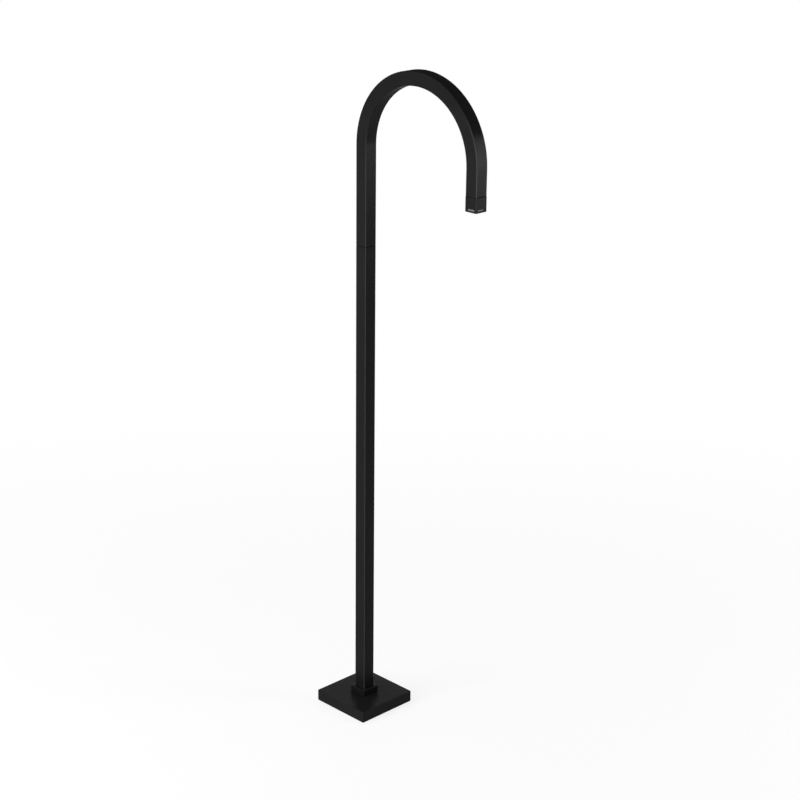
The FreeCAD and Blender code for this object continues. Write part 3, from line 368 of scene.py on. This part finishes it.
def fine_grain_group():
    """The even pebble of a sprayed or moulded surface: a height, and a slow drift in tone."""
    tree, given, put = new_group(
        "fine_grain",
        [("Place", VECTOR, None), ("Grains", FLOAT, 1500.0), ("Drift", FLOAT, 14.0)],
        [("Height", FLOAT), ("Tone", FLOAT)],
    )
    cells = tree.nodes.new("ShaderNodeTexVoronoi")
    cells.feature = "SMOOTH_F1"
    tree.links.new(given.outputs["Place"], cells.inputs["Vector"])
    tree.links.new(given.outputs["Grains"], cells.inputs["Scale"])
    speckle = noise(tree, given.outputs["Place"], given.outputs["Grains"], 4.0, 0.6)
    height = math_node(tree, "ADD", cells.outputs["Distance"], speckle)
    tree.links.new(height, put.inputs["Height"])
    tone = noise(tree, given.outputs["Place"], given.outputs["Drift"], 3.0)
    tree.links.new(tone, put.inputs["Tone"])
    return tree


def tool_marks_group():
    """Fine lines that run across one direction, as turning or drawing leaves them.

    The place is squeezed by the Along vector before it reaches the noise, so features are long
    where its number is small and thin where it is large.
    """
    tree, given, put = new_group(
        "tool_marks",
        [("Place", VECTOR, None), ("Along", VECTOR, (1.0, 1.0, 60.0))],
        [("Height", FLOAT), ("Tone", FLOAT)],
    )
    squeezed = tree.nodes.new("ShaderNodeVectorMath")
    squeezed.operation = "MULTIPLY"
    tree.links.new(given.outputs["Place"], squeezed.inputs[0])
    tree.links.new(given.outputs["Along"], squeezed.inputs[1])
    lines = noise(tree, squeezed.outputs["Vector"], 60.0, 4.0, 0.6)
    tree.links.new(lines, put.inputs["Height"])
    tree.links.new(noise(tree, given.outputs["Place"], 25.0, 3.0), put.inputs["Tone"])
    return tree


def group_node(tree, group, **values):
    """The group placed in a material, with its own values."""
    node = tree.nodes.new("ShaderNodeGroup")
    node.node_tree = bpy.data.node_groups[group]
    for key, value in values.items():
        feed(tree, value, node.inputs[key.title()])
    return node


def new_material(name):
    """A material with its Principled shader, and where each point of the piece lies."""
    material = bpy.data.materials.new(name)
    material.use_nodes = True
    tree = material.node_tree
    shader = next(n for n in tree.nodes if n.type == "BSDF_PRINCIPLED")
    place = tree.nodes.new("ShaderNodeTexCoord").outputs["Object"]
    return material, tree, shader, place


def raise_surface(tree, shader, height, depth, share_of_depth):
    """A bump on the shader: its depth in metres, and how much of it shows."""
    bump = tree.nodes.new("ShaderNodeBump")
    bump.inputs["Distance"].default_value = depth
    bump.inputs["Strength"].default_value = share_of_depth
    tree.links.new(height, bump.inputs["Height"])
    tree.links.new(bump.outputs["Normal"], shader.inputs["Normal"])


def lighter(base, factor):
    """The colour times a factor, darker where that is under 1."""
    return tuple(min(1.0, part * factor) for part in base)


# ------------------------------------------------------------------ finishes


def black_coat(name, looks, rubbed_and_highlit, level, leg_highlight=1.0):
    """Satin black powder coat: fine pebble, slow drift in tone and gloss, and lighter corners.

    The corners' lighter colour is partly rubbing wear and partly a painted highlight. The third
    argument sets its strength, and level is the share of that round a level face. It fades over
    the first part of the bend, by the height z less 0.2 x, where the painted highlight stops, and
    the coat grows rougher there. On the leg the corner colour is lighter still by the factor of
    the last argument, a stronger painted highlight.
    """
    drift, rubbed_gloss = 0.03, 0.06
    lean, bend_span, matt_span, leg_span = 0.2, (0.93, 0.985), (0.96, 1.0), (0.15, 0.22)
    material, tree, shader, place = new_material(name)
    facing = place.node.outputs["Normal"]
    grain = group_node(tree, "fine_grain", place=place, grains=1400.0, drift=11.0)
    corner = group_node(tree, "rounded_corners", normal=facing, place=place, level=level)
    parts = tree.nodes.new("ShaderNodeSeparateXYZ")
    tree.links.new(place, parts.inputs[0])
    slope = math_node(tree, "MULTIPLY", parts.outputs["X"], lean)
    rise = math_node(tree, "SUBTRACT", parts.outputs["Z"], slope)
    # The lighter corner colour is partly wear and partly a painted highlight, faded out up the
    # bend.
    wear_and_highlight_below_bend = between(tree, rise, rubbed_and_highlit, 0.0, bend_span)
    at_leg = between(tree, parts.outputs["X"], 0.0, 1.0, leg_span)
    # On the leg the corner colour is made lighter still, a painted highlight.
    edge = blend_colours(tree, at_leg, looks.coat_edge_and_highlight, lighter(looks.coat_edge_and_highlight, leg_highlight))
    matt = between(tree, rise, 0.0, looks.bend_roughness - looks.coat_roughness, matt_span)
    mask = math_node(tree, "MULTIPLY", corner.outputs["Mask"], wear_and_highlight_below_bend)
    tone = grain.outputs["Tone"]
    even = blend_colours(tree, tone, lighter(looks.coat, 0.75), lighter(looks.coat, 1.25))
    worn_and_highlit = blend_colours(tree, mask, even, edge)
    tree.links.new(worn_and_highlit, shader.inputs["Base Color"])
    gloss = between(tree, tone, looks.coat_roughness - drift, looks.coat_roughness + drift)
    polish = math_node(tree, "MULTIPLY", mask, rubbed_gloss)
    worn_gloss = math_node(tree, "SUBTRACT", gloss, polish)
    tree.links.new(math_node(tree, "ADD", worn_gloss, matt), shader.inputs["Roughness"])
    shader.inputs["Specular IOR Level"].default_value = looks.coat_gloss
    raise_surface(tree, shader, grain.outputs["Height"], 0.00002, 0.7)
    return material


def metal(name, base, roughness, along):
    """Bare metal with tool marks, a drift in tone and brighter scuffed edges."""
    drift, mark_depth = 0.06, 0.00001
    material, tree, shader, place = new_material(name)
    marks = group_node(tree, "tool_marks", place=place, along=along)
    edge = group_node(tree, "rubbed_edges", place=place, reach=0.0006, patches=120.0)
    tone = marks.outputs["Tone"]
    even = blend_colours(tree, tone, lighter(base, 0.86), lighter(base, 1.06))
    bright = blend_colours(tree, edge.outputs["Mask"], even, lighter(base, 1.25))
    tree.links.new(bright, shader.inputs["Base Color"])
    gloss = between(tree, marks.outputs["Height"], roughness - drift, roughness + drift)
    tree.links.new(gloss, shader.inputs["Roughness"])
    shader.inputs["Metallic"].default_value = 1.0
    raise_surface(tree, shader, marks.outputs["Height"], mark_depth, 0.6)
    return material


def moulded(name, base, roughness, grains, depth, gloss):
    """Moulded rubber or plastic: a fine pebble, a slow drift in tone, and paler soft edges."""
    drift, edge_share = 0.05, 0.3
    material, tree, shader, place = new_material(name)
    grain = group_node(tree, "fine_grain", place=place, grains=grains, drift=30.0)
    edge = group_node(tree, "rubbed_edges", place=place, reach=0.0005, patches=150.0)
    even = blend_colours(tree, grain.outputs["Tone"], lighter(base, 0.88), lighter(base, 1.12))
    soft = math_node(tree, "MULTIPLY", edge.outputs["Mask"], edge_share)
    tree.links.new(blend_colours(tree, soft, even, lighter(base, 1.6)), shader.inputs["Base Color"])
    varied = between(tree, grain.outputs["Tone"], roughness - drift, roughness + drift)
    tree.links.new(varied, shader.inputs["Roughness"])
    shader.inputs["Specular IOR Level"].default_value = gloss
    raise_surface(tree, shader, grain.outputs["Height"], depth, 0.6)
    return material


def floor_material(look):
    """Pale floor. To the eye and in reflections it is mostly plain white, and keeps its shadow.

    The share of plain white grows from the object outwards, up to all of it in the distance.
    """
    near, distant = 0.5, 1.6
    material = bpy.data.materials.new("studio_floor")
    material.use_nodes = True
    tree = material.node_tree
    tree.nodes.clear()
    place = tree.nodes.new("ShaderNodeTexCoord").outputs["Object"]
    paint = tree.nodes.new("ShaderNodeBsdfDiffuse")
    mottle = noise(tree, place, 3.0, 4.0)
    tone = blend_colours(tree, mottle, lighter(look.floor, 0.99), lighter(look.floor, 1.01))
    tree.links.new(tone, paint.inputs["Color"])
    white = tree.nodes.new("ShaderNodeEmission")
    path = tree.nodes.new("ShaderNodeLightPath")
    seen = math_node(tree, "MAXIMUM", path.outputs["Is Camera Ray"], path.outputs["Is Glossy Ray"])
    seen = math_node(tree, "MAXIMUM", seen, path.outputs["Is Transmission Ray"])
    distance = tree.nodes.new("ShaderNodeVectorMath")
    distance.operation = "LENGTH"
    tree.links.new(place, distance.inputs[0])
    glow = between(tree, distance.outputs["Value"], look.floor_glow, 1.0, (near, distant))
    mix = tree.nodes.new("ShaderNodeMixShader")
    tree.links.new(math_node(tree, "MULTIPLY", seen, glow), mix.inputs["Fac"])
    tree.links.new(paint.outputs["BSDF"], mix.inputs[1])
    tree.links.new(white.outputs["Emission"], mix.inputs[2])
    out = tree.nodes.new("ShaderNodeOutputMaterial")
    tree.links.new(mix.outputs["Shader"], out.inputs["Surface"])
    return material


def add_groups():
    """The node groups, built once."""
    for name, build in (
        ("rubbed_edges", rubbed_edges_group),
        ("rounded_corners", rounded_corners_group),
        ("fine_grain", fine_grain_group),
        ("tool_marks", tool_marks_group),
    ):
        if name not in bpy.data.node_groups:
            build()


def dress_node(material, node):
    """Gives the material to one node, in place of what it had."""
    node.data.materials.clear()
    node.data.materials.append(material)


def dress(material, slot):
    """Gives the material to every node of the record's slot."""
    parts = frame["record"]["subparts"]
    nodes = [frame["nodes"][part["node"]] for part in parts if part["material_slot"] == slot]
    if not nodes:
        raise RuntimeError(f"the record has no node in the slot {slot}")
    for node in nodes:
        dress_node(material, node)


# ------------------------------------------------------------------ operators


class FILLER_OT_spout(bpy.types.Operator):
    """Bend the spout's square tube from the joint up, over and down to the outlet"""

    bl_idname = "filler.spout"
    bl_label = "Bent Spout"

    def execute(self, context):
        sizes = context.scene.filler_spout
        spring = SPOUT_HIGH.z - sizes.bend - sizes.width / 2
        mesh = bent_tube("bent_spout", sizes, SPOUT_LOW.z, spring, LEG_END)
        piece = bpy.data.objects.new("bent_spout", mesh)
        context.scene.collection.objects.link(piece)
        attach(piece, "spout")
        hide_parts("spout_tube")
        return {"FINISHED"}


class FILLER_OT_coated_pieces(bpy.types.Operator):
    """Coat the cover, the collar, the column, the spout and the end cap in satin black"""

    bl_idname = "filler.coated_pieces"
    bl_label = "Black Coated Pieces"

    def execute(self, context):
        add_groups()
        looks = context.scene.filler_finish
        # The numbers after looks set the lighter corners, partly wear and partly a painted
        # highlight; the bend's 2.0 makes the leg's corners a stronger painted highlight.
        dress(black_coat("satin_black_coat", looks, 1.0, 0.25), "black_coat")
        low = black_coat("satin_black_base", looks, 0.15, 1.0)
        for name in ("base_cover", "column_socket"):
            dress_node(low, frame["nodes"][name])
        spout = bpy.data.objects["bent_spout"]
        spout.data.materials.append(black_coat("satin_black_bend", looks, 1.0, 0.0, 2.0))
        return {"FINISHED"}


class FILLER_OT_metal_pieces(bpy.types.Operator):
    """Finish the brass fittings, the floor flange, the pipe, the screens and the screws"""

    bl_idname = "filler.metal_pieces"
    bl_label = "Bare Metal Pieces"

    def execute(self, context):
        add_groups()
        looks = context.scene.filler_finish
        dress(metal("turned_brass", looks.brass, 0.28, (2.0, 2.0, 70.0)), "brass")
        dress(metal("zinc_plate", looks.zinc, 0.38, (12.0, 12.0, 12.0)), "zinc_steel")
        dress(metal("drawn_steel", looks.stainless, 0.3, (40.0, 40.0, 1.0)), "stainless")
        dress(metal("black_oxide", looks.black_steel, 0.4, (20.0, 60.0, 60.0)), "black_steel")
        return {"FINISHED"}


class FILLER_OT_moulded_pieces(bpy.types.Operator):
    """Finish the rubber sheet, strip and rings, the two black rings and the pale outlet insert"""

    bl_idname = "filler.moulded_pieces"
    bl_label = "Rubber and Plastic Pieces"

    def execute(self, context):
        add_groups()
        looks = context.scene.filler_finish
        rubber = moulded("black_rubber", looks.rubber, 0.75, 1200.0, 0.00003, 0.3)
        dark = moulded("black_plastic", looks.black_plastic, 0.7, 1800.0, 0.00001, 0.005)
        pale = moulded("pale_plastic", looks.pale_plastic, 0.45, 1600.0, 0.00001, 0.4)
        dress(rubber, "black_rubber")
        dress(dark, "black_plastic")
        dress(pale, "pale_plastic")
        return {"FINISHED"}


class FILLER_OT_stage(bpy.types.Operator):
    """Lay the pale floor and set the room light, the soft lamps and the camera"""

    bl_idname = "filler.stage"
    bl_label = "Studio Stage"

    def execute(self, context):
        look = context.scene.filler_stage
        context.scene.view_settings.view_transform = "Standard"
        lay_floor(context, look)
        light_room(context, look)
        set_camera(context, look)
        return {"FINISHED"}


def lay_floor(context, look):
    """A level round floor: rings of points at (r cos a, r sin a, 0) out to the horizon."""
    radius = np.array([0.5, 2.0, 8.0, 60.0])
    points_round = 96
    angle = np.linspace(0, 2 * math.pi, points_round, endpoint=False)
    x = radius[:, None] * np.cos(angle)
    y = radius[:, None] * np.sin(angle)
    rings = np.stack([x, y, np.zeros_like(x)], axis=-1).reshape(-1, 3)
    here = np.arange(x.size).reshape(x.shape)
    beside = np.roll(here, -1, axis=1)
    quads = np.stack([here[:-1], here[1:], beside[1:], beside[:-1]], axis=-1).reshape(-1, 4)
    mesh = bpy.data.meshes.new("studio_floor")
    mesh.from_pydata(rings.tolist(), [], [here[0].tolist(), *quads.tolist()])
    mesh.materials.append(floor_material(look))
    floor = bpy.data.objects.new("studio_floor", mesh)
    context.scene.collection.objects.link(floor)


def aim(thing, place, target):
    """Puts a lamp at a place, looking at a target."""
    thing.location = place
    thing.rotation_euler = (Vector(target) - Vector(place)).to_track_quat("-Z", "Y").to_euler()


def add_softbox(context, name, watts, size, place, target):
    """A rectangular soft lamp, width by height, that no camera sees."""
    lamp = bpy.data.lights.new(name, "AREA")
    lamp.shape = "RECTANGLE"
    lamp.size, lamp.size_y = size
    lamp.energy = watts
    box = bpy.data.objects.new(name, lamp)
    box.visible_camera = False
    context.scene.collection.objects.link(box)
    aim(box, place, target)


def room_backdrop(look):
    """A grey room that grows white towards the floor's horizon, by how high a ray points."""
    white_below, grey_above = -0.01, 0.07
    world = bpy.data.worlds.new("studio_room")
    world.use_nodes = True
    tree = world.node_tree
    background = next(n for n in tree.nodes if n.type == "BACKGROUND")
    background.inputs["Color"].default_value = (1.0, 1.0, 1.0, 1.0)
    direction = tree.nodes.new("ShaderNodeTexCoord").outputs["Generated"]
    parts = tree.nodes.new("ShaderNodeSeparateXYZ")
    tree.links.new(direction, parts.inputs[0])
    level = between(tree, parts.outputs["Z"], 1.0, look.room, (white_below, grey_above))
    level.node.interpolation_type = "SMOOTHSTEP"
    tree.links.new(level, background.inputs["Strength"])
    return world


def light_room(context, look):
    """The room's light, a broad soft light from above, two softboxes and three low cards."""
    context.scene.world = room_backdrop(look)
    sun = bpy.data.lights.new("overhead_light", "SUN")
    sun.energy = look.overhead
    sun.angle = math.radians(60)
    overhead = bpy.data.objects.new("overhead_light", sun)
    context.scene.collection.objects.link(overhead)
    aim(overhead, (-0.8, -0.9, 4.0), (0.0, 0.0, 0.0))
    for name, watts, size, place, target in (
        ("side_softbox", look.side_box, (0.42, 0.95), (1.35, 1.07, 1.02), (0.5, 0.22, 1.02)),
        ("front_softbox", look.front_box, (1.0, 1.6), (-0.5, -2.0, 0.9), (0.1, 0.0, 0.6)),
        ("rear_card", look.rear_card, (2.2, 0.8), (-1.5, 1.5, 0.45), (0.0, 0.0, 0.3)),
        ("left_card", look.left_card, (1.6, 0.6), (-1.4, -1.4, 0.35), (0.0, 0.0, 0.5)),
        ("near_card", look.near_card, (1.2, 0.6), (1.5, -1.5, 0.35), (0.1, 0.0, 0.6)),
    ):
        add_softbox(context, name, watts, size, place, target)


def set_camera(context, look):
    """The camera at the photograph's angle. It looks at the target, at a distance in metres.

    In radians, yaw is how far round from +X it looks, pitch how far down, and roll its tilt.
    """
    yaw, pitch, roll, distance = 2.362, 0.340, 0.010, 2.94882
    target = Vector((0.078142, 0.0, 0.555948))
    ahead = Vector(
        (math.cos(yaw) * math.cos(pitch), math.sin(yaw) * math.cos(pitch), -math.sin(pitch))
    )
    level = ahead.cross(Vector((0, 0, 1))).normalized()
    upright = level.cross(ahead)
    right = math.cos(roll) * level + math.sin(roll) * upright
    top = -math.sin(roll) * level + math.cos(roll) * upright
    lens = bpy.data.cameras.new("photo_camera")
    lens.lens = look.focal
    lens.sensor_width = 36.0
    lens.clip_end = 200.0
    camera = bpy.data.objects.new("photo_camera", lens)
    turn = Matrix((right, top, -ahead)).transposed().to_4x4()
    camera.matrix_world = Matrix.Translation(target - ahead * distance) @ turn
    context.scene.collection.objects.link(camera)
    context.scene.camera = camera


STEPS = (
    FILLER_OT_spout,
    FILLER_OT_coated_pieces,
    FILLER_OT_metal_pieces,
    FILLER_OT_moulded_pieces,
    FILLER_OT_stage,
)


class FILLER_PT_panel(bpy.types.Panel):
    """The steps that build and finish the bath filler, and the values that they use"""

    bl_idname = "FILLER_PT_panel"
    bl_label = "Bath Filler"
    bl_space_type = "VIEW_3D"
    bl_region_type = "UI"
    bl_category = "Bath Filler"

    def draw(self, context):
        layout = self.layout
        for step in STEPS:
            layout.operator(step.bl_idname)
        for group in (
            context.scene.filler_spout,
            context.scene.filler_finish,
            context.scene.filler_stage,
        ):
            box = layout.box()
            for name in group.__annotations__:
                box.prop(group, name)


CLASSES = (SpoutSizes, FinishColours, StageLook, *STEPS, FILLER_PT_panel)


def register():
    for item in CLASSES:
        bpy.utils.register_class(item)
    bpy.types.Scene.filler_spout = PointerProperty(type=SpoutSizes)
    bpy.types.Scene.filler_finish = PointerProperty(type=FinishColours)
    bpy.types.Scene.filler_stage = PointerProperty(type=StageLook)


def unregister():
    del bpy.types.Scene.filler_stage
    del bpy.types.Scene.filler_finish
    del bpy.types.Scene.filler_spout
    for item in reversed(CLASSES):
        bpy.utils.unregister_class(item)


def main():
    register()
    bpy.ops.filler.spout()
    bpy.ops.filler.coated_pieces()
    bpy.ops.filler.metal_pieces()
    bpy.ops.filler.moulded_pieces()
    bpy.ops.filler.stage()


if __name__ == "__main__":
    main()
